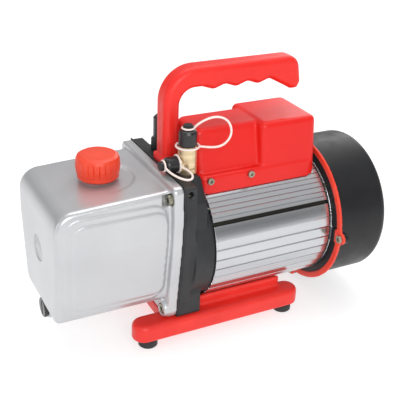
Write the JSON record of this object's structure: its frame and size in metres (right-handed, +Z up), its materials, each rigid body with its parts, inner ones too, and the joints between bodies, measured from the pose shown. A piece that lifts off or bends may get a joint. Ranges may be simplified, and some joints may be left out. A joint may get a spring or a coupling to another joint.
{
  "type": "rotary vane vacuum pump",
  "caption": "Portable oil-sealed rotary vane vacuum pump with a finned motor, rear fan, carrying handle, capped flare ports and rubber feet.",
  "frame": {"origin": "on the floor plane under the middle of the pump's length and width", "axes": "+X along the pump axis from the oil tank to the fan, +Z up, +Y to the exhaust port's side"},
  "size_m": [0.311, 0.153, 0.2355],
  "materials": {
    "tank_casting": "silver painted die casting, satin",
    "ribbed_aluminium": "bright extruded aluminium, finned",
    "black_casting": "black powder coat, fine texture",
    "shell_red": "red satin enamel",
    "handle_red": "moulded red plastic, soft sheen",
    "base_red": "red satin enamel",
    "ring_red": "red enamel on a casting",
    "orange_cap": "moulded orange-red plastic",
    "cover_black": "black satin moulding",
    "fan_plastic": "moulded black nylon",
    "port_brass": "turned brass",
    "port_cap": "moulded black plastic, slight gloss",
    "exhaust_black": "moulded black plastic, fluted",
    "tether_white": "soft off-white polyethylene",
    "black_plug": "black moulding",
    "inlet_black": "black phenolic moulding",
    "rocker_black": "glossy black rocker",
    "foot_rubber": "black rubber",
    "black_rubber": "oil-resistant black rubber",
    "steel_fastener": "zinc-plated steel",
    "machined_steel": "machined steel",
    "pump_iron": "machined cast iron, oiled",
    "stator_iron": "stacked electrical steel",
    "copper_winding": "varnished copper wire",
    "vane_plastic": "fibre-filled composite",
    "capacitor_can": "drawn can",
    "sight_window": "clear glass"
  },
  "bodies": {
    "frame": {"oil_tank": "tank_casting", "tank_gasket": "black_rubber", "tank_bolts": "steel_fastener", "sight_glass": "sight_window", "bracket": "black_casting", "pump_cylinder": "pump_iron", "pump_end_cover": "pump_iron", "exhaust_reed": "machined_steel", "reed_stop": "machined_steel", "reed_screws": "steel_fastener", "pump_bolts": "steel_fastener", "oil_baffle": "machined_steel", "motor_housing": "ribbed_aluminium", "stator_core": "stator_iron", "stator_windings": "copper_winding", "shaft_seal": "black_rubber", "ball_bearings": "machined_steel", "wave_washer": "machined_steel", "end_bell": "ring_red", "tie_bolts": "steel_fastener", "cover_screws": "steel_fastener", "fan_cover": "cover_black", "terminal_box": "shell_red", "box_tray": "machined_steel", "capacitor": "capacitor_can", "terminal_block": "black_plug", "tray_screws": "steel_fastener", "box_screws": "steel_fastener", "power_inlet": "inlet_black", "switch_frame": "inlet_black", "base": "base_red", "rubber_feet": "foot_rubber", "foot_screws": "steel_fastener", "base_bolts": "steel_fastener", "handle": "handle_red", "handle_stud": "steel_fastener", "intake_fitting": "port_brass", "intake_screen": "machined_steel", "exhaust_fitting": "exhaust_black", "intake_tether": "tether_white", "side_tether": "tether_white"},
    "shaft_line": {"motor_shaft": "machined_steel", "rotor_core": "stator_iron", "drive_sleeve": "machined_steel", "pump_rotor": "machined_steel", "vanes": "vane_plastic", "vane_springs": "machined_steel", "cooling_fan": "fan_plastic", "fan_clip": "machined_steel"},
    "filler_lift": {"filler_seal": "black_rubber"},
    "filler": {"oil_filler_cap": "orange_cap"},
    "drain_lift": {"drain_washer": "black_rubber"},
    "drain": {"drain_plug": "black_plug"},
    "intake_lift": {"intake_cap_seal": "black_rubber"},
    "intake": {"intake_cap": "port_cap"},
    "side_lift": {"side_cap_seal": "black_rubber"},
    "side": {"side_cap": "port_cap"},
    "exhaust_lift": {"exhaust_cap_seal": "black_rubber"},
    "exhaust": {"exhaust_cap": "port_cap"},
    "rocker": {"switch_rocker": "rocker_black"}
  },
  "joints": [
    {"name": "shaft_spin", "type": "hinge", "parent": "frame", "child": "shaft_line", "pos_m": [0, 0, 0.082], "axis": [1, 0, 0], "continuous": true},
    {"name": "filler_slide", "type": "slide", "parent": "frame", "child": "filler_lift", "axis": [0, 0, 1], "range_m": [0, 0.012]},
    {"name": "filler_turn", "type": "hinge", "parent": "filler_lift", "child": "filler", "pos_m": [-0.1015, 0, 0.15], "axis": [0, 0, 1], "range_deg": [0, 1441]},
    {"name": "drain_slide", "type": "slide", "parent": "frame", "child": "drain_lift", "axis": [-1, 0, 0], "range_m": [0, 0.009]},
    {"name": "drain_turn", "type": "hinge", "parent": "drain_lift", "child": "drain", "pos_m": [-0.15, 0, 0.035], "axis": [-1, 0, 0], "range_deg": [0, 2161]},
    {"name": "intake_slide", "type": "slide", "parent": "frame", "child": "intake_lift", "axis": [0, 0, 1], "range_m": [0, 0.0098], "deforming": ["intake_tether"]},
    {"name": "intake_turn", "type": "hinge", "parent": "intake_lift", "child": "intake", "pos_m": [-0.033, -0.026, 0.185], "axis": [0, 0, 1], "range_deg": [0, 2790]},
    {"name": "side_slide", "type": "slide", "parent": "frame", "child": "side_lift", "axis": [-1, 0, 0], "range_m": [0, 0.0088], "deforming": ["side_tether"]},
    {"name": "side_turn", "type": "hinge", "parent": "side_lift", "child": "side", "pos_m": [-0.05, -0.026, 0.1615], "axis": [-1, 0, 0], "range_deg": [0, 2520]},
    {"name": "exhaust_slide", "type": "slide", "parent": "frame", "child": "exhaust_lift", "axis": [0, 0, 1], "range_m": [0, 0.012]},
    {"name": "exhaust_turn", "type": "hinge", "parent": "exhaust_lift", "child": "exhaust", "pos_m": [-0.033, 0.026, 0.17], "axis": [0, 0, 1], "range_deg": [0, 2161]},
    {"name": "rocker_tilt", "type": "hinge", "parent": "frame", "child": "rocker", "pos_m": [0.0895, 0.014, 0.164], "axis": [0, -1, 0], "range_deg": [0, 12]}
  ],
  "couplings": [
    {"joint": "filler_turn", "follows": "filler_slide", "rad_per_m": 2094.4},
    {"joint": "drain_turn", "follows": "drain_slide", "rad_per_m": 4188.8},
    {"joint": "intake_turn", "follows": "intake_slide", "rad_per_m": 4947.4},
    {"joint": "side_turn", "follows": "side_slide", "rad_per_m": 4947.4},
    {"joint": "exhaust_turn", "follows": "exhaust_slide", "rad_per_m": 3141.6}
  ]
}
